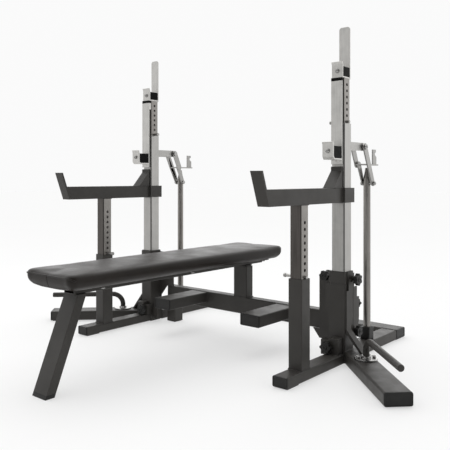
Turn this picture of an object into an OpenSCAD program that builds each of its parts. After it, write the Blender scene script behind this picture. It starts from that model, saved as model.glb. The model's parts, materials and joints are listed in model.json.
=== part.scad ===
// Competition squat and bench rack with a docking flat bench.
// X runs across the rack, Y from the bench foot to the back, Z up from the floor.

/* [Rack] */
// Distance from the middle of the rack to the middle of each column
half_span = 575; // [560:1:600]
// Height of the top of the outer column
column_top = 980; // [900:5:1100]
// Height of the top of the inner column at its lowest setting
inner_top = 1165; // [1140:5:1250]
// Spacing of the height holes
hole_pitch = 25.4; // [20:0.1:30]

/* [Tubes] */
// Width of the square outer column
column_w = 60; // [60:1:60]
// Wall of the outer column and of the leg sleeve
column_wall = 4; // [3:0.5:4]
// Width of the square inner column and of the arm leg
inner_w = 50; // [48:1:50]
// Wall of the smaller tubes
tube_wall = 3; // [2:0.5:4]
// Radius of the height pins
pin_r = 6; // [5:0.5:6]

/* [Feet] */
// Thickness of the rubber pads under the feet
pad_t = 3; // [2:1:6]
// Distance from the column to the front end of the front foot
front_reach = 445; // [400:5:500]
// Distance from the column to the back of the rear cross tube
rear_reach = 534; // [450:1:600]
// Height of the front foot
front_foot_h = 40; // [40:1:45]
// Height of the rear foot and of the rear cross tube
rear_foot_h = 45; // [40:1:50]
// Height of the side foot
side_foot_h = 48; // [45:1:50]
// Width of the side foot
side_foot_w = 100; // [90:1:110]
// Middle of the side foot's end, across from the column
side_end_x = 405; // [380:1:440]
// Middle of the side foot's end, in front of the column
side_end_y = 339; // [320:1:360]

/* [Spotter arms] */
// Height of the underside of the arm
arm_z = 655; // [640:5:660]
// Height of the arm tube
arm_h = 60; // [50:1:60]
// Width of the arm tube
arm_w = 50; // [50:1:50]
// Distance from the column to the front of the arm
arm_reach = 551; // [500:1:600]
// Distance from the column to the arm leg
leg_reach = 315; // [300:1:330]
// Height of the top of the leg sleeve
sleeve_top = 380; // [370:1:400]

/* [Bench] */
// Width of the pad
bench_w = 300; // [290:1:320]
// Length of the pad
bench_l = 1240; // [1220:1:1250]
// Height of the top of the pad
bench_top = 432; // [420:1:450]
// Thickness of the pad with its board
bench_pad_t = 62; // [60:1:65]
// Distance that the pad runs back past the columns
bench_back = 210; // [180:1:210]
// Slant of the bench leg
leg_slant = 21.5; // [18:0.5:24]
// Distance that the foot of the bench leg stands in front of the columns
bench_foot_reach = 1055; // [1040:1:1080]

/* [Hidden] */
$fn = 48;

powder = [0.13, 0.13, 0.13];
steel = [0.66, 0.65, 0.62];
plastic = [0.06, 0.06, 0.06];
vinyl = [0.10, 0.10, 0.10];

LEFT = -1;
RIGHT = 1;
eps = 0.01;

// Corner radii of the tubes
tube_r = 5;
column_r = 7;
foot_r = 8;

// Distance that the columns stand behind the middle of the footprint
column_y = (bench_foot_reach - rear_reach) / 2;

// Socket round the column, and the plate behind it
socket_half = 35;
socket_gap = 0.5;
socket_top = 373;
socket_floor = 10;
plate_y = socket_half;
plate_t = 8;
plate_back = plate_y + plate_t;
plate_inner = 128;

// Cross bar and what stands on it
bar_bottom = 106;
bar_top = 186;
bar_depth = 50;
bar_half = half_span - 81;
post_w = 80;
post_top = 335;
frame_arm_x = 263;
frame_arm_w = 100;
frame_arm_h = 50;
frame_arm_reach = 219;
cap_t = 6;

// Height pins stand just clear of the tube top that carries them
pin_gap = 0.3;
hole_r = pin_r + 0.4;
column_pin_z = column_top + pin_r + pin_gap;
leg_pin_z = sleeve_top + pin_r + pin_gap;
inner_bottom = 120;
leg_bottom = 280;

// Hooks: plates 6 mm thick, as wide as the inner column
hook_t = 6;
hook_w = 50;
squat_back_y = 24;
squat_lip_y = -36;
squat_liner_top = 1211;
squat_lip_top = 1232;
squat_top = 1383;
bench_plate_y = -42;
bench_plate_bottom = 812;
bench_plate_top = 1152;
bench_lip_y = -110;
bench_shelf_z = 829;
bench_liner_top = 884;
bench_lip_top = 901;
squat_corner = 12;
squat_bolt_z = 1193;
bench_bolt_z = 864;

// Lever behind the column
pivot_y = 148;
pivot_z = 889;
knee_y = 182;
knee_z = 815;
rod_y = 222;
rod_pin_z = 732;
rod_r = 15.5;
rod_bottom = 52;
rod_top = 748;
running = 0.05;

// Handle on the side foot, 45 degrees outward
side_angle = -45;
handle_x = 148;
handle_y = -70;
handle_z = 129;
handle_r = 12.5;
handle_bend = 55;
handle_l = 372;
handle_round = 3;
side_top = pad_t + side_foot_h;

// Bench
pad_bottom = bench_top - bench_pad_t;
beam_h = 30;
beam_bottom = pad_bottom - beam_h;
beam_top = pad_bottom - 5;
bracket_ys = [-850, -385, 105];
leg_foot_y = -bench_foot_reach;
shoe_h = 14;
leg_depth = 38;

// Star knobs, in the right column's frame
knob_r = 25;
stem_r = 6;
side_knob_y = 21;
side_knob_z = 340;
rear_knob_z = 220;
front_knob_x = -22;
front_knob_z = 70;
top_knob_x = -79;
top_knob_z = 345;
low_knob_y = 50;
low_knob_z = 121;

// ---- helpers ----

// Points of a quarter circle, anticlockwise from the given angle
function arc(middle, r, from) =
    [for (a = [0 : 22.5 : 90]) middle + r * [cos(from + a), sin(from + a)]];

// Moves from the column plane's frame to the footprint's frame
module at_columns() {
    translate([0, column_y, 0]) children();
}

// One side of the rack: children are drawn for the right side, with the column at the origin
module at_side(side) {
    at_columns() scale_side(side) translate([half_span, 0, 0]) children();
}

module scale_side(side) {
    if (side == LEFT) mirror([1, 0, 0]) children();
    else children();
}

// Box from one corner to the other
module block(low, high) {
    translate(low) cube(high - low);
}

// Rectangle with rounded corners
function rounded(low, high, r) = concat(
    arc(high - [r, r], r, 0), arc([low[0] + r, high[1] - r], r, 90),
    arc(low + [r, r], r, 180), arc([high[0] - r, low[1] + r], r, 270));

// Bar along an axis, "x", "y" or "z", between two corners, with its long edges rounded
module bar(low, high, axis, r) {
    if (axis == "x")
        profile_yz(low[0], high[0]) polygon(rounded([low[1], low[2]], [high[1], high[2]], r));
    else if (axis == "y")
        profile_xz(low[1], high[1]) polygon(rounded([low[0], low[2]], [high[0], high[2]], r));
    else
        translate([0, 0, low[2]]) linear_extrude(high[2] - low[2])
            polygon(rounded([low[0], low[1]], [high[0], high[1]], r));
}

module box_tube(low, high, wall, axis, r = tube_r) {
    cut = [axis == "x" ? -1 : wall, axis == "y" ? -1 : wall, axis == "z" ? -1 : wall];
    difference() {
        bar(low, high, axis, r);
        block(low + cut, high - cut);
    }
}

// Extrudes an outline drawn in Y and Z along X, from x0 to x1
module profile_yz(x0, x1) {
    translate([x0, 0, 0]) rotate([90, 0, 90]) linear_extrude(x1 - x0) children();
}

// Extrudes an outline drawn in X and Z along Y, from y0 to y1
module profile_xz(y0, y1) {
    translate([0, y1, 0]) rotate([90, 0, 0]) linear_extrude(y1 - y0) children();
}

module rod_x(x0, x1, r) {
    translate([x0, 0, 0]) rotate([0, 90, 0]) cylinder(r = r, h = x1 - x0);
}

module rod_back(y0, y1, r) {
    translate([0, y0, 0]) rotate([-90, 0, 0]) cylinder(r = r, h = y1 - y0);
}

// Row of height holes across a tube, from hole first to hole last
module height_holes(z, first, last) {
    for (i = [first:last]) translate([0, 0, z + i * hole_pitch]) rod_x(-inner_w, inner_w, hole_r);
}

// Star knob with its stem, pointing along +Z from the stem's end
module star_knob(stem, r) {
    lobes = 6;
    cylinder(r = stem_r, h = stem + 2);
    translate([0, 0, stem]) cylinder(r = r * 0.5, h = 6);
    translate([0, 0, stem + 6]) linear_extrude(16) union() {
        circle(r = r * 0.8);
        for (i = [0:lobes - 1]) rotate(i * 360 / lobes) translate([r * 0.72, 0]) circle(r = r * 0.28);
    }
}

// ---- feet ----

module front_foot(side) {
    color(powder) at_side(side)
        box_tube([-30, cap_t - front_reach, pad_t], [socket_half, -socket_half, pad_t + front_foot_h],
            tube_wall, "y", foot_r - 2);
}

module leg_sleeves() {
    half = column_w / 2;
    color(powder) for (side = [LEFT, RIGHT]) at_side(side)
        box_tube([-half, -leg_reach - half, pad_t + front_foot_h], [half, half - leg_reach, sleeve_top],
            column_wall, "z");
}

module rear_feet() {
    color(powder) for (side = [LEFT, RIGHT]) at_side(side)
        box_tube([-40, plate_back, pad_t], [socket_half, rear_reach - 90, pad_t + rear_foot_h],
            tube_wall, "y");
}

// Tube at 45 degrees, cut off flat against the socket's outer face
module side_foot(side) {
    half = side_foot_w / 2;
    long = 620;
    color(powder) at_side(side) difference() {
        translate([side_end_x, -side_end_y, 0]) rotate(side_angle)
            box_tube([-long, -half, pad_t], [-cap_t, half, side_top], tube_wall, "x", foot_r);
        block([-600, -600, -1], [socket_half, 900, 100]);
    }
}

module rear_tube() {
    color(powder) at_columns()
        box_tube([-half_span - socket_half + cap_t, rear_reach - 90, pad_t],
            [half_span + socket_half - cap_t, rear_reach, pad_t + rear_foot_h], tube_wall, "x");
}

module foot_caps() {
    color(plastic) for (side = [LEFT, RIGHT]) at_side(side) {
        bar([-30, -front_reach, pad_t], [socket_half, cap_t - front_reach, pad_t + front_foot_h],
            "y", foot_r - 2);
        bar([socket_half - cap_t, rear_reach - 90, pad_t], [socket_half, rear_reach, pad_t + rear_foot_h],
            "x", tube_r);
        translate([side_end_x, -side_end_y, 0]) rotate(side_angle)
            bar([-cap_t, -side_foot_w / 2, pad_t], [0, side_foot_w / 2, side_top], "x", foot_r);
        bar([frame_arm_x - frame_arm_w / 2 - half_span, -frame_arm_reach, bar_top - 3 - frame_arm_h],
            [frame_arm_x + frame_arm_w / 2 - half_span, cap_t - frame_arm_reach, bar_top - 3], "y", tube_r);
    }
}

module foot_pads() {
    color(plastic) {
        for (side = [LEFT, RIGHT]) at_side(side) {
            block([-26, 8 - front_reach, 0], [31, 80 - front_reach, pad_t]);
            block([-34, rear_reach - 84, 0], [29, rear_reach - 6, pad_t]);
            translate([side_end_x, -side_end_y, 0]) rotate(side_angle)
                block([-66, -40, 0], [-8, 40, pad_t]);
        }
        at_columns() block([-484, 39, 0], [-436, 87, pad_t]);
    }
}

// ---- base frame ----

// Cross bar, with a short leg under its left end
module cross_bar() {
    color(powder) at_columns() {
        box_tube([-bar_half, plate_back, bar_bottom], [bar_half, plate_back + bar_depth, bar_top],
            column_wall, "x");
        box_tube([-490, plate_back - 10, pad_t], [-430, plate_back + bar_depth, bar_bottom],
            column_wall, "z");
    }
}

module frame_arms() {
    top = bar_top - 3;
    color(powder) at_columns() for (side = [LEFT, RIGHT]) scale_side(side)
        box_tube([frame_arm_x - frame_arm_w / 2, cap_t - frame_arm_reach, top - frame_arm_h],
            [frame_arm_x + frame_arm_w / 2, plate_back, top], tube_wall, "y");
}

module rear_post() {
    color(powder) at_columns()
        box_tube([-post_w / 2, plate_back, bar_top], [post_w / 2, plate_back + bar_depth, post_top],
            column_wall, "z");
}

// Outline of the plate behind the socket; the two sides meet the cross bar differently
module plate_outline(side) {
    top = [[socket_half, pad_t + 60], [socket_half, 363], [-92, 363], [-108, 350], [-plate_inner, 332]];
    if (side == RIGHT)
        polygon(concat(top, [[-plate_inner, bar_bottom + 1], [-160, bar_bottom + 1],
            [-plate_inner, 67], [-100, 67]]));
    else
        polygon(concat(top, [[-plate_inner, bar_top], [-81, bar_top], [-36, 132], [-36, pad_t + 60]]));
}

// Socket round the column, its plates, bosses and the brace down to the side foot
module housing(side) {
    s = socket_half;
    bore = column_w / 2 + socket_gap;
    color(powder) at_side(side) {
        difference() {
            union() {
                bar([-s, -s, pad_t], [s, s, socket_top], "z", 4);
                // band round the top
                bar([-s - 2, -s - 3, socket_top - 47], [s + 1, s, socket_top - 2], "z", 4);
                // panel beside the right socket; the left one is plain
                if (side == RIGHT) {
                    block([-55, -s, 215], [4 - s, s, 318]);
                    block([-40, -s, 100], [4 - s, s, 216]);
                }
                // plate behind the socket
                profile_xz(plate_y, plate_back) plate_outline(side);
                // profile plate behind the plate
                profile_yz(25, 31) polygon([[plate_back, 303], [74, 303], [74, 258], [92, 258],
                    [92, 172], [78, 96], [plate_back, 90]]);
                // block over the front knob's screw, standing on the front foot
                block([-15, -74, pad_t + front_foot_h], [25, -s, 106]);
                block([-40, -66, pad_t + front_foot_h], [-14, -s, 92]);
                // stop block
                block([-80, -32, 22], [-55, 2, 84]);
                block([-56, -28, 30], [1 - s, -6, 76]);
                // brace from the socket down to the side foot
                profile_xz(-30, 5) polygon([[s, 343], [s + 6, 343], [s + 6, 139], [114, side_top],
                    [101, side_top], [s, 128]]);
                // bosses for the knobs
                translate([0, side_knob_y, side_knob_z]) rod_x(s - eps, s + 9, 13);
                translate([0, 0, rear_knob_z]) rod_back(plate_back, 112, 12);
                translate([top_knob_x, 0, top_knob_z]) rod_back(12, plate_y, 12);
                translate([0, low_knob_y, low_knob_z]) rod_x(31 - eps, 36, 12);
            }
            block([-bore, -bore, socket_floor], [bore, bore, socket_top + 1]);
            // clamp slot in the outer face, deeper below the band
            block([s - 3, -31, 296], [s + 8, -14, 328]);
            block([s - 2, -31, 327], [s + 8, -14, socket_top + 1]);
            translate([0, side_knob_y, side_knob_z]) rod_x(s - 4, s + 10, stem_r + running);
            translate([0, 0, rear_knob_z]) rod_back(70, 113, stem_r + running);
            translate([front_knob_x, 0, front_knob_z]) rod_back(-75, -50, stem_r + running);
            translate([top_knob_x, 0, top_knob_z]) rod_back(11, 30, stem_r + running);
            translate([0, low_knob_y, low_knob_z]) rod_x(20, 37, stem_r + running);
        }
    }
}

// ---- columns ----

module outer_column(side) {
    half = column_w / 2;
    color(steel) at_side(side)
        box_tube([-half, -half, socket_floor], [half, half, column_top], column_wall, "z", column_r);
}

module inner_column(side) {
    half = inner_w / 2;
    color(steel) at_side(side) difference() {
        box_tube([-half, -half, inner_bottom], [half, half, inner_top], tube_wall, "z");
        height_holes(column_pin_z, -19, 6);
    }
}

// Pin pushed in from the inboard side, with a turned head
module height_pin(z, y, inner_end, outer_end) {
    translate([0, y, z]) {
        rod_x(-inner_end, outer_end, pin_r);
        rod_x(-inner_end - 8, -inner_end, pin_r + 2);
    }
}

module column_pin(side) {
    color(steel) at_side(side) height_pin(column_pin_z, 0, 46, 38);
}

module squat_hook(side) {
    t = hook_t;
    half = hook_w / 2;
    color(steel) at_side(side) difference() {
        union() {
            block([-half, squat_lip_y, inner_top], [half, squat_back_y + t, inner_top + t]);
            // front lip, with its top bent outward
            profile_yz(-half, half) polygon([[squat_lip_y, inner_top + t - eps],
                [squat_lip_y + t, inner_top + t - eps], [squat_lip_y + t, squat_lip_top - 14],
                [squat_lip_y, squat_lip_top], [squat_lip_y - 5, squat_lip_top - 2],
                [squat_lip_y, squat_lip_top - 14]]);
            // tall back plate with rounded corners
            profile_xz(squat_back_y, squat_back_y + t) polygon(concat(
                [[-half, inner_top + t - eps], [half, inner_top + t - eps]],
                arc([half - squat_corner, squat_top - squat_corner], squat_corner, 0),
                arc([squat_corner - half, squat_top - squat_corner], squat_corner, 90)));
        }
        translate([0, 0, squat_bolt_z]) rod_back(squat_lip_y - 10, squat_lip_y + 20, 5 + running);
    }
}

module bench_hook(side) {
    t = hook_t;
    half = hook_w / 2;
    color(steel) at_side(side) difference() {
        union() {
            block([-half, bench_plate_y, bench_plate_bottom], [half, bench_plate_y + t, bench_plate_top]);
            // spacer that joins the plate to the inner column
            block([-half, bench_plate_y + t, 1118], [0, -inner_w / 2, bench_plate_top]);
            // shelf and front lip, bent from one strip
            profile_yz(-half, half) polygon([[bench_plate_y, bench_shelf_z],
                [bench_plate_y, bench_shelf_z + t], [bench_lip_y + 12, bench_shelf_z + t], [bench_lip_y + t, bench_shelf_z + 14],
                [bench_lip_y + t, bench_lip_top - 14], [bench_lip_y + 2, bench_lip_top],
                [bench_lip_y - 4, bench_lip_top - 1], [bench_lip_y, bench_lip_top - 14],
                [bench_lip_y, bench_shelf_z + 12], [bench_lip_y + 9, bench_shelf_z]]);
        }
        translate([0, 0, bench_bolt_z]) rod_back(bench_lip_y - 10, bench_lip_y + 20, 5 + running);
    }
}

// Plastic blocks that the bar rests on, each drilled for its bolt
module hook_liners(side) {
    half = hook_w / 2;
    color(plastic) at_side(side) difference() {
        union() {
            block([-half, squat_lip_y + hook_t, inner_top + hook_t], [half, squat_back_y, squat_liner_top]);
            block([-half, bench_lip_y + 12, bench_shelf_z + hook_t], [half, bench_plate_y, bench_liner_top]);
            block([-half, bench_lip_y + hook_t, bench_shelf_z + 14],
                [half, bench_lip_y + 12, bench_liner_top]);
            // dark closing strip under the squat hook
            block([-half, bench_plate_y, bench_plate_top], [half, -inner_w / 2, inner_top]);
        }
        translate([0, 0, squat_bolt_z]) rod_back(squat_lip_y, squat_lip_y + 22, 5 + running);
        translate([0, 0, bench_bolt_z]) rod_back(bench_lip_y, bench_lip_y + 22, 5 + running);
    }
}

module hook_bolt() {
    rod_back(-5, 0, 9);
    rod_back(-eps, 20, 5);
}

module hook_bolts(side) {
    color(steel) at_side(side) {
        translate([0, squat_lip_y, squat_bolt_z]) hook_bolt();
        translate([0, bench_lip_y, bench_bolt_z]) hook_bolt();
    }
}

// ---- spotter arms ----

module spotter_arm(side) {
    collar = 37;
    hole = column_w / 2 + 0.8;
    half = arm_w / 2;
    top = arm_z + arm_h;
    lean = tan(19.3);
    plate_top = 780;
    front = -arm_reach;
    brace_top = 802;
    color(powder) at_side(side) {
        difference() {
            block([-collar, -collar, arm_z], [collar, collar + 4, top]);
            block([-hole, -hole, arm_z - 1], [hole, hole, top + 1]);
        }
        // arm tube, cut to the slant of the front plate
        difference() {
            block([-half, front - 40, arm_z], [half, -collar, top]);
            block([tube_wall - half, front - 41, arm_z + tube_wall],
                [half - tube_wall, 1 - collar, top - tube_wall]);
            profile_yz(-half - 1, half + 1) polygon([[front - 60, arm_z - 1], [front + 21 + 1, arm_z - 1],
                [front + 21 - (arm_h + 1) * lean, top + 1], [front - 60, top + 1]]);
        }
        // slanted front plate
        profile_yz(-half, half) polygon([[front + 21 + 0.2, arm_z], [front + 12.5, arm_z],
            [front + 12.5 - (plate_top - arm_z) * lean, plate_top],
            [front + 21 + 0.2 - (plate_top - arm_z) * lean, plate_top]]);
        // bent brace against the column, with side plates
        profile_yz(-half, half) polygon([[-collar, brace_top], [-collar - 6, brace_top],
            [-collar - 6, 785], [-106, top], [-97, top], [-collar, 783]]);
        for (x = [-half, half - 5]) profile_yz(x, x + 5)
            polygon([[-collar, top], [-collar, 784], [-98, top]]);
    }
}

module arm_leg(side) {
    half = inner_w / 2;
    color(steel) at_side(side) translate([0, -leg_reach, 0]) difference() {
        box_tube([-half, -half, leg_bottom], [half, half, arm_z], tube_wall, "z");
        height_holes(leg_pin_z, -4, 8);
    }
}

module leg_pin(side) {
    color(steel) at_side(side) height_pin(leg_pin_z, -leg_reach, 60, 35);
}

// ---- levers ----

module lever_brackets() {
    color(steel) for (side = [LEFT, RIGHT]) at_side(side) difference() {
        union() {
            for (x = [-22, 16]) {
                block([x, column_w / 2, 872], [x + 6, pivot_y, 906]);
                translate([0, pivot_y, pivot_z]) rod_x(x, x + 6, 17);
            }
            block([-16, column_w / 2, 900], [16, 118, 906]);
        }
        translate([0, pivot_y, pivot_z]) rod_x(-30, 30, 8 + running);
    }
}

// Halves of the lever's side plates, as outlines in Y and Z; the lower one tapers to end radius r
module lever_upper() {
    hull() {
        translate([pivot_y, pivot_z]) circle(r = 16, $fn = 32);
        translate([knee_y, knee_z]) circle(r = 15, $fn = 32);
    }
}

module lever_lower(r) {
    hull() {
        translate([knee_y + 12 - r, knee_z]) circle(r = r + 3, $fn = 32);
        translate([rod_y, rod_pin_z]) circle(r = r, $fn = 32);
    }
}

module lever_head(side) {
    color(steel) at_side(side) difference() {
        union() {
            profile_yz(-32, -26) lever_upper();
            // inner plate's lower half, stepped in beside the rod
            profile_yz(-22, -16) lever_lower(10);
            profile_yz(26, 32) {
                lever_upper();
                lever_lower(12);
            }
            // shelf and the upright hook on it
            block([-32, 168, 811], [26 + eps, 196, 817]);
            block([-12, 196 - eps, 811], [12, 307, 817]);
            profile_yz(-3, 3) polygon([[274, 816], [274, 883], [303, 883], [303, 872], [292, 866],
                [294, 858], [307, 850], [307, 816]]);
        }
        translate([0, pivot_y, pivot_z]) rod_x(-40, 40, 8 + running);
        translate([0, rod_y, rod_pin_z]) rod_x(-40, 40, stem_r + running);
    }
}

module lever_rod(side) {
    color(steel) at_side(side) translate([0, rod_y, 0]) difference() {
        union() {
            translate([0, 0, rod_bottom]) cylinder(r = rod_r, h = rod_top - rod_bottom);
            // tapered upper end
            translate([0, 0, rod_top]) cylinder(r1 = rod_r, r2 = rod_r / 2, h = 52);
        }
        translate([0, 0, rod_bottom + 20]) cylinder(r = rod_r - 3, h = rod_top - rod_bottom - 30);
        translate([0, 0, rod_pin_z]) rod_x(-20, 20, stem_r + running);
    }
}

module lever_pins(side) {
    color(steel) at_side(side) {
        translate([0, pivot_y, pivot_z]) {
            rod_x(-37, 37, 8);
            rod_x(-38, -32, 12);
            rod_x(32, 38, 12);
        }
        translate([0, rod_y, rod_pin_z]) {
            rod_x(-27, 37, stem_r);
            rod_x(-28, -22, 9);
            rod_x(32, 39, 9);
        }
    }
}

// Open square clips that hold the rods' lower ends
module rod_clips() {
    half = 22;
    top = pad_t + rear_foot_h + 54;
    color(plastic) for (side = [LEFT, RIGHT]) at_side(side) translate([0, rod_y, 0])
        difference() {
            union() {
                bar([-half, -half, pad_t + rear_foot_h], [half, half, top], "z", tube_r);
                bar([-half - 2, -half - 2, top - 8], [half + 2, half + 2, top - 2], "z", tube_r);
            }
            translate([0, 0, pad_t + rear_foot_h + 3]) cylinder(r = rod_r + 1, h = 60);
            block([-rod_r - 1, 0, pad_t + rear_foot_h + 3], [rod_r + 1, 40, top + 1]);
        }
}

// ---- handles and knobs ----

module handle_flanges() {
    color(steel) for (side = [LEFT, RIGHT]) at_side(side) translate([handle_x, handle_y, side_top]) {
        difference() {
            union() {
                cylinder(r = 45, h = 6);
                cylinder(r = 19, h = 14);
            }
            translate([0, 0, -1]) cylinder(r = handle_r + running, h = 20);
        }
        for (a = [45, 225]) rotate(a) translate([32, 0, 6]) cylinder(r = 7, h = 6);
    }
}

module lift_handle(side) {
    color(powder) at_side(side) translate([handle_x, handle_y, 0]) rotate(side_angle) {
        translate([0, 0, side_top + 1]) cylinder(r = handle_r, h = handle_z - handle_bend - side_top - 1);
        translate([handle_bend, 0, handle_z - handle_bend]) rotate([90, 0, 0])
            rotate([0, 0, 90]) rotate_extrude(angle = 90) translate([handle_bend, 0]) circle(r = handle_r);
        translate([0, 0, handle_z]) {
            rod_x(handle_bend, handle_l - handle_round, handle_r);
            translate([handle_l - handle_round, 0, 0]) rotate([0, 90, 0])
                cylinder(r1 = handle_r, r2 = handle_r - handle_round, h = handle_round);
        }
    }
}

module side_knob(side) {
    color(plastic) at_side(side) translate([socket_half - 3, side_knob_y, side_knob_z]) rotate([0, 90, 0])
        star_knob(17, knob_r);
}

module front_knob(side) {
    color(plastic) at_side(side) translate([front_knob_x, -54, front_knob_z]) rotate([90, 0, 0])
        star_knob(22, knob_r);
}

module rear_knob(side) {
    color(plastic) at_side(side) translate([0, 92, rear_knob_z]) rotate([-90, 0, 0])
        star_knob(22, knob_r - 5);
}

module top_knob(side) {
    color(plastic) at_side(side) translate([top_knob_x, 26, top_knob_z]) rotate([90, 0, 0])
        star_knob(16, knob_r - 3);
}

module low_knob(side) {
    color(plastic) at_side(side) translate([24, low_knob_y, low_knob_z]) rotate([0, 90, 0])
        star_knob(13, knob_r - 2);
}

// ---- bench ----

module bench_pad() {
    r = 34;
    x = bench_w / 2 - r;
    front = bench_back - bench_l + r;
    back = bench_back - r;
    color(vinyl) at_columns() hull() for (px = [-x, x], py = [front, back])
        translate([px, py, pad_bottom]) cylinder(r = r, h = bench_pad_t, $fn = 32);
}

// Beam under the pad with its cross plates, and the stub that drops into the rear post
module bench_frame() {
    gap = 1;
    inside = post_w / 2 - column_wall - gap;
    color(powder) at_columns() {
        box_tube([-30, -930, beam_bottom], [30, 180, beam_top], tube_wall, "y", 3);
        for (y = bracket_ys) block([-110, y - 20, beam_top - eps], [110, y + 20, pad_bottom]);
        box_tube([-inside, plate_back + column_wall + gap, 228],
            [inside, plate_back + bar_depth - column_wall - gap, beam_bottom], tube_wall, "z");
    }
}

module bench_leg() {
    slope = tan(leg_slant);
    top_y = leg_foot_y + beam_bottom * slope;
    foot_y = leg_foot_y + shoe_h * slope;
    wall = tube_wall;
    color(powder) at_columns() difference() {
        profile_yz(-40, 40) polygon([[foot_y, shoe_h], [foot_y + leg_depth, shoe_h],
            [top_y + leg_depth, beam_bottom], [top_y, beam_bottom]]);
        profile_yz(wall - 40, 40 - wall) polygon([[foot_y + wall - slope, shoe_h - 1],
            [foot_y + leg_depth - wall - slope, shoe_h - 1],
            [top_y + leg_depth - wall + slope, beam_bottom + 1], [top_y + wall + slope, beam_bottom + 1]]);
    }
}

module bench_shoe() {
    slope = tan(leg_slant);
    color(plastic) at_columns() profile_yz(-40, 40) polygon([[leg_foot_y, 0], [leg_foot_y + leg_depth, 0],
        [leg_foot_y + leg_depth + shoe_h * slope, shoe_h], [leg_foot_y + shoe_h * slope, shoe_h]]);
}

// Bolt heads under the cross plates
module bench_bolts() {
    color(steel) at_columns() for (x = [-92, 92], y = bracket_ys)
        translate([x, y, beam_top - 6]) cylinder(r = 8, h = 6 - eps);
}

front_foot(LEFT);  // left_front_foot
front_foot(RIGHT);  // right_front_foot
leg_sleeves();
rear_feet();
side_foot(LEFT);  // left_side_foot
side_foot(RIGHT);  // right_side_foot
housing(LEFT);  // left_housing
housing(RIGHT);  // right_housing
outer_column(LEFT);  // left_outer_column
outer_column(RIGHT);  // right_outer_column
inner_column(LEFT);  // left_inner_column
inner_column(RIGHT);  // right_inner_column
column_pin(LEFT);  // left_column_pin
column_pin(RIGHT);  // right_column_pin
squat_hook(LEFT);  // left_squat_hook
squat_hook(RIGHT);  // right_squat_hook
bench_hook(LEFT);  // left_bench_hook
bench_hook(RIGHT);  // right_bench_hook
hook_liners(LEFT);  // left_hook_liners
hook_liners(RIGHT);  // right_hook_liners
hook_bolts(LEFT);  // left_hook_bolts
hook_bolts(RIGHT);  // right_hook_bolts
spotter_arm(LEFT);  // left_spotter_arm
spotter_arm(RIGHT);  // right_spotter_arm
arm_leg(LEFT);  // left_arm_leg
arm_leg(RIGHT);  // right_arm_leg
leg_pin(LEFT);  // left_leg_pin
leg_pin(RIGHT);  // right_leg_pin
lever_brackets();
lever_head(LEFT);  // left_lever_head
lever_head(RIGHT);  // right_lever_head
lever_rod(LEFT);  // left_lever_rod
lever_rod(RIGHT);  // right_lever_rod
lever_pins(LEFT);  // left_lever_pins
lever_pins(RIGHT);  // right_lever_pins
lift_handle(LEFT);  // left_lift_handle
lift_handle(RIGHT);  // right_lift_handle
side_knob(LEFT);  // left_side_knob
side_knob(RIGHT);  // right_side_knob
front_knob(LEFT);  // left_front_knob
front_knob(RIGHT);  // right_front_knob
rear_knob(LEFT);  // left_rear_knob
rear_knob(RIGHT);  // right_rear_knob
top_knob(LEFT);  // left_top_knob
top_knob(RIGHT);  // right_top_knob
low_knob(LEFT);  // left_low_knob
low_knob(RIGHT);  // right_low_knob
cross_bar();
frame_arms();
rear_tube();
rear_post();
foot_caps();
foot_pads();
rod_clips();
handle_flanges();
bench_pad();
bench_frame();
bench_leg();
bench_shoe();
bench_bolts();
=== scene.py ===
import json
import math

import bmesh
import bpy
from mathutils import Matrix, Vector


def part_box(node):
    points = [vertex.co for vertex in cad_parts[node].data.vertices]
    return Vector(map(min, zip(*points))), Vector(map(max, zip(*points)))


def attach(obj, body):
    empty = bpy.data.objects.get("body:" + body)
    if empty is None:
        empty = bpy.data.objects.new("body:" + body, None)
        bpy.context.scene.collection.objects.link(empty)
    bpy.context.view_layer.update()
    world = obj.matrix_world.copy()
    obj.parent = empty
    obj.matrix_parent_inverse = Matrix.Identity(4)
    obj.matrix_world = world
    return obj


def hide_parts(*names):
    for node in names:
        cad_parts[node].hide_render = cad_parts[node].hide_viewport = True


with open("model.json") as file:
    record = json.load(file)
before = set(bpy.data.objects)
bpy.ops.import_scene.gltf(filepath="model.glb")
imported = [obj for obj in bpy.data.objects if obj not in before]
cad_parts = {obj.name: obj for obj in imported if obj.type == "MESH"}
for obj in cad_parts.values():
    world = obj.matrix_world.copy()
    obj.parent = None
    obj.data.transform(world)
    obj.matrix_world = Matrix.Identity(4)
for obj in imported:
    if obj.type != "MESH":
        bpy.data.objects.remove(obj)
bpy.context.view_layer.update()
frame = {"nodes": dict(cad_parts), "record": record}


# ---- helpers -------------------------------------------------------------------------------------

def corners(node):
    """Lowest and highest corner of a CAD node."""
    low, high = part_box(node)
    return Vector(low), Vector(high)


def add_mesh(name, bm, material, body, smooth=True):
    """A new piece from a bmesh, riding on a body."""
    mesh = bpy.data.meshes.new(name)
    bmesh.ops.recalc_face_normals(bm, faces=bm.faces[:])
    bm.to_mesh(mesh)
    bm.free()
    for face in mesh.polygons:
        face.use_smooth = smooth
    piece = bpy.data.objects.new(name, mesh)
    bpy.context.scene.collection.objects.link(piece)
    mesh.materials.append(material)
    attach(piece, body)
    return piece


def bridge(bm, rings):
    """Joins each ring of points to the next with quads."""
    for here, there in zip(rings, rings[1:]):
        count = len(here)
        for n in range(count):
            m = (n + 1) % count
            bm.faces.new([here[n], here[m], there[m], there[n]])


def turn(middle, one, two, angle, radius):
    """Point on a circle about middle, in the plane of the unit vectors one and two."""
    return middle + (one * math.cos(angle) + two * math.sin(angle)) * radius


SIDES = {"left": -1, "right": 1}
LEG_FRONT = corners("right_arm_leg")[0].y   # front face of the tubes under the arms


# ---- materials -----------------------------------------------------------------------------------

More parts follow.
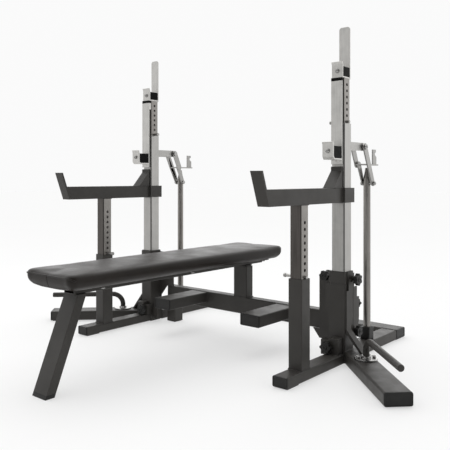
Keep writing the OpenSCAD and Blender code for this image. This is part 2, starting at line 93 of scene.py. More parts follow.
class Shader:
    """A Principled material with short calls for the nodes that feed it."""

    def __init__(self, name, roughness, metallic=0.0, specular=0.5):
        self.material = bpy.data.materials.new(name)
        self.material.use_nodes = True
        self.tree = self.material.node_tree
        self.surface = self.tree.nodes["Principled BSDF"]
        self.surface.inputs["Roughness"].default_value = roughness
        self.surface.inputs["Metallic"].default_value = metallic
        self.surface.inputs["Specular IOR Level"].default_value = specular
        place = self.node("ShaderNodeTexCoord")
        self.where = place.outputs["Object"]
        self.normal = place.outputs["Normal"]

    def node(self, kind, **inputs):
        """A new node; an underscore in an input's name stands for a space."""
        made = self.tree.nodes.new(kind)
        for name, value in inputs.items():
            self.feed(made.inputs[name.replace("_", " ")], value)
        return made

    def feed(self, socket, value):
        """Links a socket to a socket, or sets it to a constant."""
        if isinstance(value, bpy.types.NodeSocket):
            self.tree.links.new(value, socket)
        else:
            socket.default_value = value

    def stretched(self, scale):
        """Object coordinates in metres, times a scale for each axis."""
        return self.node("ShaderNodeMapping", Vector=self.where, Scale=scale).outputs["Vector"]

    def noise(self, size, detail=3.0, where=None, roughness=0.5):
        """Noise with features about size metres across, from 0 to 1."""
        made = self.node("ShaderNodeTexNoise", Vector=where or self.where,
                         Scale=1.0 / size, Detail=detail, Roughness=roughness)
        return made.outputs["Fac"]

    def ramp(self, factor, low, high, at=(0.0, 1.0)):
        """Colour ramp between two colours."""
        made = self.node("ShaderNodeValToRGB", Fac=factor)
        first, last = made.color_ramp.elements
        first.position, last.position = at
        first.color, last.color = (*low, 1.0), (*high, 1.0)
        return made.outputs["Color"]

    def spread(self, factor, low, high, at=(0.0, 1.0)):
        """A number that runs from low to high as the factor runs over at."""
        made = self.node("ShaderNodeMapRange", Value=factor, From_Min=at[0], From_Max=at[1],
                         To_Min=low, To_Max=high)
        return made.outputs["Result"]

    def mix(self, factor, one, other):
        """Colour mix: one at factor 0, other at 1."""
        made = self.node("ShaderNodeMix")
        made.data_type = "RGBA"
        self.feed(made.inputs["Factor"], factor)
        self.feed(made.inputs["A"], one)
        self.feed(made.inputs["B"], other)
        return made.outputs["Result"]

    def scaled(self, value, factor):
        """A colour times a number."""
        made = self.node("ShaderNodeVectorMath")
        made.operation = "SCALE"
        self.feed(made.inputs[0], value)
        self.feed(made.inputs["Scale"], factor)
        return made.outputs["Vector"]

    def painted_corner_shade(self, low):
        """Painted shade: 1 on flat faces, low along the middle of an upright rounded corner, where it paints
        a dark reflection line into the colour.
        """
        parts = self.node("ShaderNodeSeparateXYZ", Vector=self.normal)
        # the product is 0 on faces square to the axes and 0.5 halfway round a corner
        across = self.node("ShaderNodeMath")
        across.operation = "MULTIPLY"
        self.feed(across.inputs[0], parts.outputs["X"])
        self.feed(across.inputs[1], parts.outputs["Y"])
        size = self.node("ShaderNodeMath")
        size.operation = "ABSOLUTE"
        self.feed(size.inputs[0], across.outputs["Value"])
        return self.spread(size.outputs["Value"], 1.0, low, at=(0.24, 0.44))

    def colour(self, value):
        self.feed(self.surface.inputs["Base Color"], value)

    def rough(self, value):
        self.feed(self.surface.inputs["Roughness"], value)

    def bump(self, height, depth, strength, below=None):
        """Adds a bump layer that is depth metres deep."""
        made = self.node("ShaderNodeBump", Strength=strength, Distance=depth, Height=height)
        if below is not None:
            self.tree.links.new(below, made.inputs["Normal"])
        self.tree.links.new(made.outputs["Normal"], self.surface.inputs["Normal"])
        return made.outputs["Normal"]


def powder_coat():
    """Near-black fine-textured powder coat."""
    s = Shader("powder_coat", roughness=0.45, specular=0.28)
    cloud = s.noise(0.16, detail=4.0)
    grain = s.noise(0.0011, detail=2.0)
    peel = s.noise(0.006, detail=2.0)
    s.colour(s.ramp(cloud, (0.0370, 0.0346, 0.0315), (0.0480, 0.0451, 0.0411), at=(0.3, 0.7)))
    s.rough(s.spread(s.noise(0.05, detail=5.0), 0.40, 0.52, at=(0.3, 0.7)))
    layer = s.bump(grain, 0.0002, strength=0.45)
    s.bump(peel, 0.0003, strength=0.2, below=layer)
    return s.material


def bare_steel(name, tone, corner):
    """Dull zinc-plated steel, drawn lengthways, with soft mottling, painted shade along its rounded corners,
    and a tone that scales its colour.
    """
    s = Shader(name, roughness=0.4, metallic=1.0)
    streak = s.noise(0.004, detail=4.0, where=s.stretched((1.0, 1.0, 0.03)))
    mottle = s.noise(0.035, detail=5.0, roughness=0.62)
    base = s.ramp(mottle, (0.335, 0.330, 0.318), (0.455, 0.448, 0.432), at=(0.3, 0.7))
    lines = s.ramp(streak, (0.350, 0.345, 0.332), (0.470, 0.462, 0.446), at=(0.3, 0.7))
    # painted shade: rounded upright corners darken down to corner as a painted dark reflection line; tone
    # scales the whole colour, and a tone above 1 is a painted highlight
    s.colour(s.scaled(s.mix(0.45, base, lines), s.spread(s.painted_corner_shade(corner), 0.0, tone)))
    s.rough(s.spread(mottle, 0.32, 0.46, at=(0.3, 0.7)))
    s.bump(streak, 0.0002, strength=0.3)
    return s.material


def drawn_steel(name, corner):
    """Darker drawn steel of the sliding tubes, with painted shade along its rounded corners; the fronts of
    the arm legs keep their mill scale.
    """
    s = Shader(name, roughness=0.36, metallic=1.0)
    streak = s.noise(0.0035, detail=4.0, where=s.stretched((1.0, 1.0, 0.025)))
    mottle = s.noise(0.05, detail=5.0, roughness=0.6)
    base = s.ramp(mottle, (0.215, 0.205, 0.193), (0.300, 0.287, 0.270), at=(0.3, 0.7))
    lines = s.ramp(streak, (0.200, 0.190, 0.178), (0.320, 0.305, 0.287), at=(0.3, 0.7))
    place = s.node("ShaderNodeSeparateXYZ", Vector=s.where)
    front = s.spread(place.outputs["Y"], 1.0, 0.0, at=(LEG_FRONT + 0.0008, LEG_FRONT + 0.0024))
    scale = s.ramp(streak, (0.068, 0.062, 0.057), (0.110, 0.101, 0.094), at=(0.3, 0.7))
    # painted shade: rounded upright corners darken down to corner as a painted dark reflection line
    s.colour(s.scaled(s.mix(front, s.mix(0.55, base, lines), scale), s.painted_corner_shade(corner)))
    s.rough(s.spread(streak, 0.28, 0.44, at=(0.3, 0.7)))
    s.bump(streak, 0.0002, strength=0.35)
    return s.material


def bright_zinc():
    """Bright plated fasteners."""
    s = Shader("bright_zinc", roughness=0.25, metallic=1.0)
    tarnish = s.noise(0.025, detail=3.0)
    s.colour(s.ramp(tarnish, (0.33, 0.325, 0.32), (0.40, 0.395, 0.385), at=(0.3, 0.7)))
    s.rough(s.spread(tarnish, 0.20, 0.28))
    return s.material


def moulded_plastic():
    """Black moulded plastic with a light spark-eroded texture."""
    s = Shader("moulded_plastic", roughness=0.45, specular=0.3)
    s.colour(s.ramp(s.noise(0.03), (0.0115, 0.0112, 0.0107), (0.0175, 0.0171, 0.0163), at=(0.3, 0.7)))
    s.rough(s.spread(s.noise(0.01), 0.40, 0.58))
    s.bump(s.noise(0.0009, detail=2.0), 0.0002, strength=0.4)
    return s.material


def liner_plastic():
    """Black machined plastic with faint cutter lines."""
    s = Shader("liner_plastic", roughness=0.6, specular=0.04)
    cutter = s.noise(0.0012, detail=1.0, where=s.stretched((0.1, 1.0, 1.0)))
    s.colour(s.ramp(s.noise(0.02), (0.004, 0.004, 0.004), (0.008, 0.008, 0.008), at=(0.3, 0.7)))
    s.rough(s.spread(cutter, 0.34, 0.52))
    s.bump(cutter, 0.0001, strength=0.3)
    return s.material


def rubber():
    """Matt black rubber."""
    s = Shader("rubber", roughness=0.85, specular=0.3)
    dust = s.noise(0.012, detail=5.0)
    s.colour(s.ramp(dust, (0.014, 0.014, 0.014), (0.028, 0.027, 0.026), at=(0.35, 0.75)))
    s.rough(s.spread(dust, 0.75, 0.95))
    s.bump(s.noise(0.0015), 0.0003, strength=0.4)
    return s.material


def vinyl():
    """Black upholstery vinyl with a fine leather grain."""
    s = Shader("vinyl", roughness=0.38, specular=0.25)
    cells = s.node("ShaderNodeTexVoronoi", Vector=s.where, Scale=620.0)
    cells.feature = "DISTANCE_TO_EDGE"
    grain = s.spread(cells.outputs["Distance"], 0.0, 1.0, at=(0.0, 0.25))
    soft = s.noise(0.09, detail=3.0)
    s.colour(s.ramp(soft, (0.0085, 0.0058, 0.0040), (0.0132, 0.0094, 0.0066), at=(0.3, 0.7)))
    s.rough(s.spread(soft, 0.35, 0.47, at=(0.3, 0.7)))
    layer = s.bump(grain, 0.00012, strength=0.35)
    s.bump(s.noise(0.03, detail=2.0), 0.002, strength=0.15, below=layer)
    return s.material


MATERIALS = {
    "powder_coat": powder_coat(),
    # corner is how dark the painted corner shade gets (1.0: none); the hooks' tone of 1.34 is a painted
    # highlight that brightens them
    "bare_steel": bare_steel("bare_steel", tone=1.0, corner=0.27),
    "hook_steel_painted_bright": bare_steel("hook_steel_painted_bright", tone=1.34, corner=1.0),
    "lever_steel": bare_steel("lever_steel", tone=0.86, corner=1.0),
    "drawn_steel": drawn_steel("drawn_steel", corner=0.35),
    "rod_steel": drawn_steel("rod_steel", corner=1.0),
    "bright_fasteners": bright_zinc(),
    "moulded_plastic": moulded_plastic(),
    "liner_plastic": liner_plastic(),
    "rubber_pads": rubber(),
    "vinyl": vinyl(),
}


# ---- finish of the carried-over nodes --------------------------------------------------------------

SAME_POINT = 0.00001
EDGE_WIDTH = 0.0010
FLAT_ANGLE, SHARP_ANGLE = math.radians(0.6), math.radians(40)


def finish_edges(node):
    """Joins a node's faces, merges what is flat and rounds its sharp edges."""
    merge = node.modifiers.new("weld", "WELD")
    merge.merge_threshold = SAME_POINT
    flat = node.modifiers.new("flat", "DECIMATE")
    flat.decimate_type = "DISSOLVE"
    flat.angle_limit = FLAT_ANGLE
    bevel = node.modifiers.new("bevel", "BEVEL")
    bevel.width = EDGE_WIDTH
    bevel.segments = 2
    bevel.limit_method = "ANGLE"
    bevel.angle_limit = SHARP_ANGLE
    bevel.use_clamp_overlap = True
    shade = node.modifiers.new("shade", "WEIGHTED_NORMAL")
    shade.keep_sharp = False
    shade.weight = 60


def finish_of(name, slot):
    """Hooks get steel brightened by a painted highlight, lever heads and rods have their own steel; the rest
    follows its slot.
    """
    for ending, finish in (("_hook", "hook_steel_painted_bright"), ("_head", "lever_steel"), ("_rod", "rod_steel")):
        if name.endswith(ending):
            return MATERIALS[finish]
    return MATERIALS[slot]


def finish_nodes():
    """Gives each CAD node its material, smooth faces and rounded edges."""
    for part in frame["record"]["subparts"]:
        name = part["node"]
        node = frame["nodes"][name]
        node.data.materials.clear()
        node.data.materials.append(finish_of(name, part["material_slot"]))
        if "custom_normal" in node.data.attributes:
            node.data.attributes.remove(node.data.attributes["custom_normal"])
        for face in node.data.polygons:
            face.use_smooth = True
        finish_edges(node)


finish_nodes()


# ---- bench pad -------------------------------------------------------------------------------------

PLAN_R, TOP_R, BOTTOM_R, LEAST_R = 0.032, 0.009, 0.040, 0.004
TUCK = 0.75             # share of the bottom radius that the sides pull in
CROWN = 0.006           # rise of the top in the middle
ACROSS, LAYERS = 28, 10
ROW_STEP = 0.01
# lines of points beside the seam down the front face, which replace the even ones within SEAM_ROOM
SEAM = (-0.0045, -0.0018, 0.0, 0.0018, 0.0045)
SEAM_ROOM = 0.006
SEAM_HALF, SEAM_DEPTH = 0.0012, 0.0022
FOLD_HEIGHT, FOLD_WIDTH, FOLD_DEPTH = 0.020, 0.005, 0.0009
SWELL_ROOM = Vector((0.004, 0.004, 0.0))    # the cloth swells the shell, so it starts smaller
TOP_ROOM = Vector((0.0, 0.0, 0.003))
HELD_BAND = 0.004
CORNER_IN = 0.034       # middle of a rounded corner, in from the sides of the pad
PIPING_R, PIPING_LIFT = 0.0026, 0.0010
PIPING_DOWN = 0.008     # below the pad's top
PIPING_FOLD = 0.010     # how far its ends go down
PIPING_TURN = 72        # degrees that its ends go round a corner
COVER_IN, COVER_R = 0.042, 0.014
# a staple's points, as (along, down), and the row of staples on each side
STAPLE = ((-0.005, 0.0), (-0.005, 0.0017), (0.005, 0.0017), (0.005, 0.0))
WIRE_R = 0.0006
STAPLES = 44
STAPLE_IN, STAPLE_MARGIN = 0.007, 0.03


def pad_shell(low, high):
    """Closed cushion: rounded plan corners, rolled top edge, sides tucked in at the bottom."""
    half_w = (high.x - low.x) / 2
    half_l = (high.y - low.y) / 2
    thick = high.z - low.z
    middle = (low + high) / 2
    across = [half_w * (2 * i / ACROSS - 1) for i in range(ACROSS + 1)]
    across = sorted([x for x in across if abs(x) > SEAM_ROOM] + list(SEAM))
    rows = round(2 * half_l / ROW_STEP)
    along = [half_l * (2 * j / rows - 1) for j in range(rows + 1)]
    bm = bmesh.new()
    grid = {}

    def shaped(i, j, k):
        z = k / LAYERS * thick
        if z > thick - TOP_R:
            tuck = TOP_R - math.sqrt(max(TOP_R ** 2 - (z - thick + TOP_R) ** 2, 0.0))
        elif z < BOTTOM_R:
            tuck = (BOTTOM_R - math.sqrt(max(BOTTOM_R ** 2 - (BOTTOM_R - z) ** 2, 0.0))) * TUCK
        else:
            tuck = 0.0
        side, end = half_w - tuck, half_l - tuck
        r = max(PLAN_R - tuck, LEAST_R)
        x, y = across[i] * side / half_w, along[j] * end / half_l
        # past the middle of a corner, the square grid is pulled onto its arc
        dx = x - max(min(x, side - r), r - side)
        dy = y - max(min(y, end - r), r - end)
        if dx and dy:
            stretch = max(abs(dx), abs(dy)) / math.hypot(dx, dy)
            x, y = x - dx * (1 - stretch), y - dy * (1 - stretch)
        z *= 1 - CROWN / thick
        if k == LAYERS:
            edge = (1 - (x / half_w) ** 2) * (1 - abs(y / half_l) ** 10)
            z += CROWN * max(edge, 0.0) ** 0.6
        return middle + Vector((x, y, z - thick / 2))

    def vert(i, j, k):
        key = (i, j, k)
        if key not in grid:
            grid[key] = bm.verts.new(shaped(i, j, k))
        return grid[key]

    def quad(*keys):
        bm.faces.new([vert(*key) for key in keys])

    columns = len(across) - 1
    for i in range(columns):
        for j in range(rows):
            for k in (0, LAYERS):
                quad((i, j, k), (i + 1, j, k), (i + 1, j + 1, k), (i, j + 1, k))
    for k in range(LAYERS):
        for i in range(columns):
            for j in (0, rows):
                quad((i, j, k), (i + 1, j, k), (i + 1, j, k + 1), (i, j, k + 1))
        for j in range(rows):
            for i in (0, columns):
                quad((i, j, k), (i, j + 1, k), (i, j + 1, k + 1), (i, j, k + 1))
    return bm


def inflate(piece, bottom, cap, pressure, frames):
    """Swells a piece as pressurised cloth, held at its bottom; no point moves further than cap."""
    start = [v.co.copy() for v in piece.data.vertices]
    held = piece.vertex_groups.new(name="held")
    held.add([v.index for v in piece.data.vertices if v.co.z < bottom + HELD_BAND], 1.0, "REPLACE")
    cloth = piece.modifiers.new("swell", "CLOTH")
    cloth.settings.quality = 6
    cloth.settings.mass = 0.3
    cloth.settings.tension_stiffness = 60
    cloth.settings.compression_stiffness = 25
    cloth.settings.shear_stiffness = 25
    cloth.settings.bending_stiffness = 4
    cloth.settings.use_pressure = True
    cloth.settings.uniform_pressure_force = pressure
    cloth.settings.vertex_group_mass = "held"
    cloth.settings.effector_weights.gravity = 0
    cloth.collision_settings.use_collision = False
    cloth.point_cache.frame_end = frames
    scene = bpy.context.scene
    for number in range(1, frames + 1):
        scene.frame_set(number)
    graph = bpy.context.evaluated_depsgraph_get()
    swollen = piece.evaluated_get(graph).to_mesh()
    moved = [v.co.copy() for v in swollen.vertices]
    piece.evaluated_get(graph).to_mesh_clear()
    piece.modifiers.remove(cloth)
    piece.vertex_groups.remove(held)
    for vertex, was, now in zip(piece.data.vertices, start, moved):
        step = now - was
        if step.length > cap:
            step *= cap / step.length
        vertex.co = was + step
    scene.frame_set(1)


def crease_pad(piece, low, high):
    """Sews the seam down the front face and lays soft creases along the sides."""
    for vertex in piece.data.vertices:
        x, y, z = vertex.co
        if y < low.y + 0.02 and abs(x) < SEAM_HALF and z < high.z - 0.012:
            vertex.co.y += SEAM_DEPTH
        # 0 in the middle, 1 near the sides
        side = min(max((abs(x) - (high.x - 0.016)) / 0.008, 0.0), 1.0)
        wave = math.sin(y * 9.0 + 1.3) + 0.6 * math.sin(y * 21.0 + x * 5)
        fold = math.exp(-((z - low.z - FOLD_HEIGHT - 0.002 * wave) / FOLD_WIDTH) ** 2)
        vertex.co.x -= math.copysign(FOLD_DEPTH * fold * side * (1 + 0.3 * wave), x)


RIPPLE_PITCH = 2.1      # radians from one point to the next


def sweep(bm, points, radius, sides=6, ripple=0.0):
    """Adds a closed round strip along points; ripple makes it lumpy like a weld."""
    rings = []
    last = len(points) - 1
    for i, point in enumerate(points):
        along = (points[min(i + 1, last)] - points[max(i - 1, 0)]).normalized()
        up = Vector((0, 0, 1)) if abs(along.z) < 0.9 else Vector((1, 0, 0))
        one = along.cross(up).normalized()
        two = along.cross(one)
        r = radius * (1 + ripple * math.sin(i * RIPPLE_PITCH))
        rings.append([bm.verts.new(turn(point, one, two, math.tau * n / sides, r)) for n in range(sides)])
    bridge(bm, rings)
    bm.faces.new(rings[0])
    bm.faces.new(rings[-1])


def make_piping(pad, low, high):
    """Piping sewn along the top edge of the pad's front end, folded under just past each corner."""
    solid = pad.evaluated_get(bpy.context.evaluated_depsgraph_get())
    corner_x, corner_y = high.x - CORNER_IN, low.y + CORNER_IN
    steps, half_front = 8, 30

    def round_corner(k, n):
        a = math.radians(PIPING_TURN / steps * n)
        return Vector((k * corner_x, corner_y, 0)), Vector((k * math.sin(a), -math.cos(a), 0)), n / steps

    # (centre, way out of it, share of the fold) for each point of the piping
    route = [round_corner(-1, n) for n in range(steps, -1, -1)]
    route += [(Vector((corner_x * (n / half_front - 1), corner_y, 0)), Vector((0, -1, 0)), 0.0)
              for n in range(1, 2 * half_front)]
    route += [round_corner(1, n) for n in range(steps + 1)]
    points = []
    for centre, way, drop in route:
        aim = centre + way * CORNER_IN
        aim.z = high.z - PIPING_DOWN - PIPING_FOLD * drop ** 2
        out = (way + Vector((0, 0, 0.8))).normalized()
        hit, place, normal, _ = solid.ray_cast(aim + out * 0.1, -out)
        if hit:
            points.append(place + normal * PIPING_LIFT)
    bm = bmesh.new()
    sweep(bm, points, PIPING_R, sides=8)
    piping = add_mesh("pad_piping", bm, MATERIALS["vinyl"], "bench")


def rounded_outline(half_w, half_h, r, turn_step, count):
    """Rectangle about the origin as pairs of numbers, with count points on each rounded corner."""
    return [(k * (half_w - r) + r * math.cos(a), m * (half_h - r) + r * math.sin(a))
            for k, m, start in ((1, 1, 0), (-1, 1, 90), (-1, -1, 180), (1, -1, 270))
            for a in (math.radians(start + turn_step * n) for n in range(count))]


def make_underside(low, high):
    """Dust cover under the pad, turned in at its edge, with the staples that hold it."""
    half_x = high.x - COVER_IN
    front, back = low.y + COVER_IN, high.y - COVER_IN
    middle_y = (front + back) / 2
    outline = rounded_outline(half_x, (back - front) / 2, COVER_R, 15, 7)
    bm = bmesh.new()
    # share of the outline, and height above the pad's bottom
    levels = ((1.0, 0.0006), (1.0, -0.0008), (0.985, -0.0012), (0.98, -0.0007))
    rings = [[bm.verts.new((x * scale, middle_y + y * scale, low.z + rise)) for x, y in outline]
             for scale, rise in levels]
    bridge(bm, rings)
    bm.faces.new(rings[0])
    bm.faces.new(rings[-1])
    cover = add_mesh("pad_dust_cover", bm, MATERIALS["liner_plastic"], "bench", smooth=False)
    bm = bmesh.new()
    for k in SIDES.values():
        x = k * (half_x - STAPLE_IN)
        for n in range(STAPLES):
            y = front + STAPLE_MARGIN + (back - front - 2 * STAPLE_MARGIN) * n / (STAPLES - 1)
            sweep(bm, [Vector((x, y + along, low.z - down)) for along, down in STAPLE], WIRE_R, sides=4)
    staples = add_mesh("pad_staples", bm, MATERIALS["bright_fasteners"], "bench")


def make_pad():
    """The bench's cushion in place of the CAD pad, with its piping and underside."""
    low, high = corners("bench_pad")
    shell = pad_shell(low + SWELL_ROOM, high - SWELL_ROOM - TOP_ROOM)
    pad = add_mesh("bench_cushion", shell, MATERIALS["vinyl"], "bench")
    inflate(pad, low.z, cap=0.005, pressure=4.0, frames=20)
    crease_pad(pad, low, high)
    smooth = pad.modifiers.new("smooth", "SUBSURF")
    smooth.levels = smooth.render_levels = 1
    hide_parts("bench_pad")
    make_piping(pad, low, high)
    make_underside(low, high)


make_pad()


# ---- welds, cap rims and fastener details ------------------------------------------------------------

COLUMN = sum(corners("right_outer_column"), Vector()) / 2
MIDDLE = -COLUMN.x * 1000   # the rack's middle, in millimetres outboard of a column


def spot(side, x, y, z):
    """Point in metres, from millimetres outboard of and behind the foot of a side's column."""
    return Vector((SIDES[side] * (COLUMN.x + x / 1000), COLUMN.y + y / 1000, z / 1000))


def flat_ring(x0, x1, y0, y1, z):
    """Closed path round a level rectangle."""
    return [(x0, y0, z), (x1, y0, z), (x1, y1, z), (x0, y1, z), (x0, y0, z)]


def upright_ring(x0, x1, y, z0, z1):
    """Closed path round an upright rectangle that faces the front."""
    return [(x0, y, z0), (x1, y, z0), (x1, y, z1), (x0, y, z1), (x0, y, z0)]


BEAD_STEP, BEAD_RIPPLE = 0.0035, 0.16
# bead radii, in metres
FRAME_BEAD, BRACKET_BEAD, HOOK_BEAD = 0.0023, 0.0018, 0.0016


def weld(bm, path, radius):
    """Adds a rippled bead along a path of corners."""
    points = []
    for a, b in zip(path, path[1:]):
        count = max(2, round((b - a).length / BEAD_STEP))
        points += [a.lerp(b, i / count) for i in range(count)]
    sweep(bm, points + [path[-1]], radius, ripple=BEAD_RIPPLE)


# paths of beads, with corners as spot() takes them; the frame's are the same on both sides
FRAME_WELDS = [
    flat_ring(-30, 30, -345, -285, 43),
    [(-30, -35, 5), (-30, -35, 43), (35, -35, 43)],
    [(35, -40, 5), (35, -40, 51), (35, 35, 51)],
    [(101, -30, 51), (114, -30, 51), (114, 5, 51)],
    [(35.5, -30, 139), (35.5, -30, 324)],
    [(35.5, 5, 139), (35.5, 5, 324)],
    [(-40, 43, 5), (-40, 43, 48), (35, 43, 48), (35, 43, 5)],
    [(-40, 444, 5), (-40, 444, 48), (35, 444, 48)],
    upright_ring(-362, -262, 43, 133, 183),
    [(-15, -74, 43), (25, -74, 43), (25, -36, 43)],
    [(31.5, 43, 92), (31.5, 43, 302)],
]
# welds of the rear post and the cross bar's ends, which differ from side to side
BAR_WELDS = [
    ("right", flat_ring(MIDDLE - 40, MIDDLE + 40, 43, 93, 186)),
    ("right", [(-128, 43, 107), (-128, 43, 185)]),
    ("left", [(-128, 43, 186), (-81, 43, 186)]),
    ("left", flat_ring(-145, -85, 33, 93, 105)),
]
ARM_WELDS = [
    upright_ring(-25, 25, -37, 655, 715),
    flat_ring(-25, 25, -340, -290, 655),
    [(-25, -98, 715), (-25, -38, 715)],
    [(25, -98, 715), (25, -38, 715)],
    [(-25, -106, 715), (25, -106, 715)],
]
BENCH_WELDS = [
    flat_ring(MIDDLE - 30, MIDDLE + 30, -921, -883, 340),
    flat_ring(MIDDLE - 35, MIDDLE + 35, 48, 88, 340),
] + [[(MIDDLE + x, y - 20, 365), (MIDDLE + x, y + 20, 365)] for y in (-850, -385, 105) for x in (-30, 30)]
BRACKET_WELDS = [[(x, 30, 873), (x, 30, 905)] for x in (-22, -16, 16, 22)]
HOOK_WELDS = [[(-25, 25, 1165), (25, 25, 1165), (25, -24, 1165)]]


def make_welds():
    """Weld beads, joined into one piece for each body and place."""
    jobs = [
        ("frame_welds", "rack_frame", "powder_coat", FRAME_BEAD,
         [(side, path) for side in SIDES for path in FRAME_WELDS] + BAR_WELDS),
        ("bench_welds", "bench", "powder_coat", FRAME_BEAD, [("right", path) for path in BENCH_WELDS]),
    ]
    for side in SIDES:
        for part, body, slot, radius, paths in (
                ("arm", side + "_arm", "powder_coat", FRAME_BEAD, ARM_WELDS),
                ("bracket", "rack_frame", "bare_steel", BRACKET_BEAD, BRACKET_WELDS),
                ("hook", side + "_column", "bare_steel", HOOK_BEAD, HOOK_WELDS)):
            jobs.append((side + "_" + part + "_welds", body, slot, radius, [(side, path) for path in paths]))
    for name, body, slot, radius, paths in jobs:
        bm = bmesh.new()
        for side, path in paths:
            weld(bm, [spot(side, *point) for point in path], radius)
        piece = add_mesh(name, bm, MATERIALS[slot], body)


# section of a cap's rim: how far in from the tube's edge, how proud of the cap, and its corner radius
RIM = ((0.0008, -0.0010, 0.0060), (0.0008, 0.0007, 0.0060), (0.0018, 0.0016, 0.0050),
       (0.0042, 0.0016, 0.0035), (0.0050, 0.0006, 0.0030), (0.0050, -0.0010, 0.0030))


def cap_rim(bm, middle, across, out, half_w, half_h):
    """Raised rim on a tube's end cap."""
    rings = [[bm.verts.new(middle + across * u + Vector((0, 0, v)) + out * proud)
              for u, v in rounded_outline(half_w - inset, half_h - inset, r, 18, 6)]
             for inset, proud, r in RIM]
    bridge(bm, rings + rings[:1])


def make_cap_rims():
    """Rims on the end caps of the front feet, frame arms, rear tube and side feet."""
    bm = bmesh.new()
    half = math.sqrt(0.5)   # the side feet run at 45 degrees
    front, sideways = Vector((0, -1, 0)), Vector((1, 0, 0))
    for side, k in SIDES.items():
        for place, across, out, half_w, half_h in (
                ((2.5, -445, 23), sideways, front, 0.0325, 0.020),
                ((-312, -219, 158), sideways, front, 0.050, 0.025),
                ((35, 489, 25.5), Vector((0, 1, 0)), Vector((k, 0, 0)), 0.045, 0.0225),
                ((405, -339, 27), Vector((k * half, half, 0)), Vector((k * half, -half, 0)), 0.050, 0.024)):
            cap_rim(bm, spot(side, *place), across, out, half_w, half_h)
    rims = add_mesh("cap_rims", bm, MATERIALS["moulded_plastic"], "rack_frame", smooth=False)


def lathe(bm, middle, out, outline, hexagon):
    """Turns an outline of (radius, height) pairs about an axis; rings up to hexagon are six-sided."""
    sides = 24
    up = Vector((0, 0, 1)) if abs(out.z) < 0.9 else Vector((1, 0, 0))
    one = out.cross(up).normalized()
    two = out.cross(one)
    rings = []
    for r, h in outline:
        ring = []
        for n in range(sides):
            a = math.tau * n / sides
            far = r
            if r <= hexagon:
                far = r * math.cos(math.pi / 6) / math.cos((a % (math.pi / 3)) - math.pi / 6)
            ring.append(bm.verts.new(turn(middle, one, two, a, far) + out * h))
        rings.append(ring)
    bridge(bm, rings)


HEXAGON = 0.0043        # a socket is six-sided up to this radius
SOCKET = ((0.0, 0.0003), (0.0042, 0.0003), (0.0042, 0.0019), (0.0050, 0.0022), (0.0062, 0.0019),
          (0.0076, 0.0010), (0.0082, -0.0004))
KNOB_CAP = ((0.0, 0.0004), (0.0030, 0.0004), (0.0036, 0.0012), (0.0070, 0.0022), (0.0096, 0.0016),
            (0.0104, -0.0004))


def make_heads():
    """Hex sockets on the bolt heads and moulded caps in the middle of the star knobs."""
    front, back, up = Vector((0, -1, 0)), Vector((0, 1, 0)), Vector((0, 0, 1))
    for side, k in SIDES.items():
        outboard = Vector((k, 0, 0))
        sockets = {
            "hook": (side + "_column", [((0, -41, 1193), front), ((0, -115, 864), front)]),
            "flange": ("rack_frame", [((148 + d, -70 + d, 63), up) for d in (-22.6, 22.6)]),
            "lever": (side + "_lever", [((38, 148, 889), outboard), ((39, 222, 732), outboard)]),
        }
        knobs = {
            "side": ((71, 21, 340), outboard),
            "front": ((-22, -98, 70), front),
            "rear": ((0, 136, 220), back),
            "top": ((-79, -12, 345), front),
            "low": ((59, 50, 121), outboard),
        }
        jobs = [(side + "_" + name + "_sockets", body, "bright_fasteners", SOCKET, HEXAGON, places)
                for name, (body, places) in sockets.items()]
        jobs += [(side + "_" + name + "_knob_cap", side + "_" + name + "_screw", "moulded_plastic",
                  KNOB_CAP, 0.0, [place]) for name, place in knobs.items()]
        for name, body, slot, outline, hexagon, places in jobs:
            bm = bmesh.new()
            for place, out in places:
                lathe(bm, spot(side, *place), out, outline, hexagon)
            bmesh.ops.remove_doubles(bm, verts=bm.verts[:], dist=SAME_POINT)
            piece = add_mesh(name, bm, MATERIALS[slot], body)


make_welds()
make_cap_rims()
make_heads()


# ---- stage -----------------------------------------------------------------------------------------

FLOOR_SIZE, FLOOR_DOWN, FLOOR_GLOW = 60, 0.0005, 0.52
ROOM_LEVEL, ROOM_LEAST = 1.05, 0.02     # the room's even brightness, and the least that is left of it
ROOM_LEAN = (-0.463, 0.656, 0.0)        # added the way the camera looks, taken off behind it
PATCH_WAY = (0.70, -0.714, 0.0)
PATCH = {"From Min": 0.72, "From Max": 0.93, "To Min": 0.0, "To Max": 0.42}
BACKDROP = 0.96                         # what the camera itself sees


def make_floor():
    """Pale floor; it glows a little, so the shadows on it stay faint."""
    s = Shader("studio_floor", roughness=0.9, specular=0.0)
    s.colour(s.ramp(s.noise(0.8), (0.42, 0.42, 0.418), (0.43, 0.43, 0.428)))
    s.surface.inputs["Emission Color"].default_value = (1.0, 1.0, 1.0, 1.0)
    s.surface.inputs["Emission Strength"].default_value = FLOOR_GLOW
    bpy.ops.mesh.primitive_plane_add(size=FLOOR_SIZE, location=(0, 0, -FLOOR_DOWN))
    floor = bpy.context.object
    floor.name = "floor"
    floor.data.materials.append(s.material)


def make_light(name, place, target, size, power):
    """Square area lamp at place, aimed at target and hidden from the camera."""
    light = bpy.data.lights.new(name, "AREA")
    light.shape = "SQUARE"
    light.size = size
    light.energy = power
    lamp = bpy.data.objects.new(name, light)
    lamp.location = place
    lamp.rotation_euler = (Vector(target) - Vector(place)).to_track_quat("-Z", "Y").to_euler()
    lamp.visible_camera = False
    bpy.context.scene.collection.objects.link(lamp)


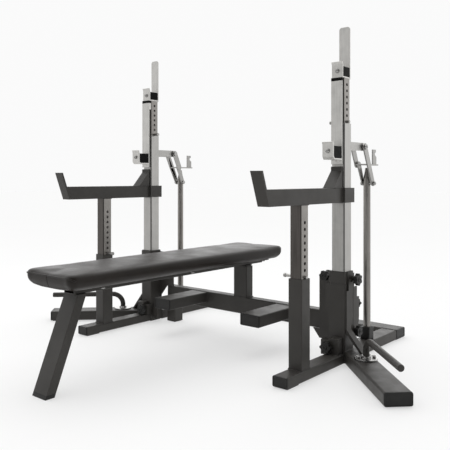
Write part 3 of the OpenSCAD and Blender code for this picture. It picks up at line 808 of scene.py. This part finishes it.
def make_world():
    """White studio that is darker behind the camera and brighter at the back; plain to the camera."""
    world = bpy.data.worlds.new("studio")
    bpy.context.scene.world = world
    world.use_nodes = True
    tree = world.node_tree
    way = tree.nodes.new("ShaderNodeTexCoord").outputs["Generated"]

    def combine(kind, operation, one, other):
        """A math node's result; one is a socket, other a socket, a number or a vector."""
        made = tree.nodes.new(kind)
        made.operation = operation
        tree.links.new(one, made.inputs[0])
        if isinstance(other, bpy.types.NodeSocket):
            tree.links.new(other, made.inputs[1])
        else:
            made.inputs[1].default_value = other
        return made.outputs["Value"]

    lean = combine("ShaderNodeVectorMath", "DOT_PRODUCT", way, ROOM_LEAN)
    level = combine("ShaderNodeMath", "ADD", lean, ROOM_LEVEL)
    # dark patch behind the camera, which darkens the steel's rounded corners
    facing = combine("ShaderNodeVectorMath", "DOT_PRODUCT", way, PATCH_WAY)
    patch = tree.nodes.new("ShaderNodeMapRange")
    patch.interpolation_type = "SMOOTHSTEP"
    for name, value in PATCH.items():
        patch.inputs[name].default_value = value
    tree.links.new(facing, patch.inputs["Value"])
    rest = combine("ShaderNodeMath", "SUBTRACT", level, patch.outputs["Result"])
    bounded = combine("ShaderNodeMath", "MAXIMUM", rest, ROOM_LEAST)
    pick = tree.nodes.new("ShaderNodeMix")
    tree.links.new(tree.nodes.new("ShaderNodeLightPath").outputs["Is Camera Ray"], pick.inputs["Factor"])
    tree.links.new(bounded, pick.inputs["A"])
    pick.inputs["B"].default_value = BACKDROP
    back = tree.nodes["Background"]
    back.inputs["Color"].default_value = (1.0, 1.0, 1.0, 1.0)
    tree.links.new(pick.outputs["Result"], back.inputs["Strength"])


def make_camera():
    """Level camera 0.75 m above the floor, in front of the rack and to its right."""
    camera = bpy.data.cameras.new("camera")
    camera.sensor_width = 36.0
    camera.lens = 49.07
    camera.shift_y = -0.1035
    eye = bpy.data.objects.new("camera", camera)
    eye.location = (1.8507, -1.9826, 0.7537)
    eye.rotation_euler = (math.radians(90), 0, math.radians(40.389))
    bpy.context.scene.collection.objects.link(eye)
    bpy.context.scene.camera = eye


make_floor()
make_world()
make_light("top", place=(-0.8, -0.4, 4.2), target=(0, 0, 0), size=3.0, power=30)
make_camera()
bpy.context.scene.view_settings.view_transform = "Standard"
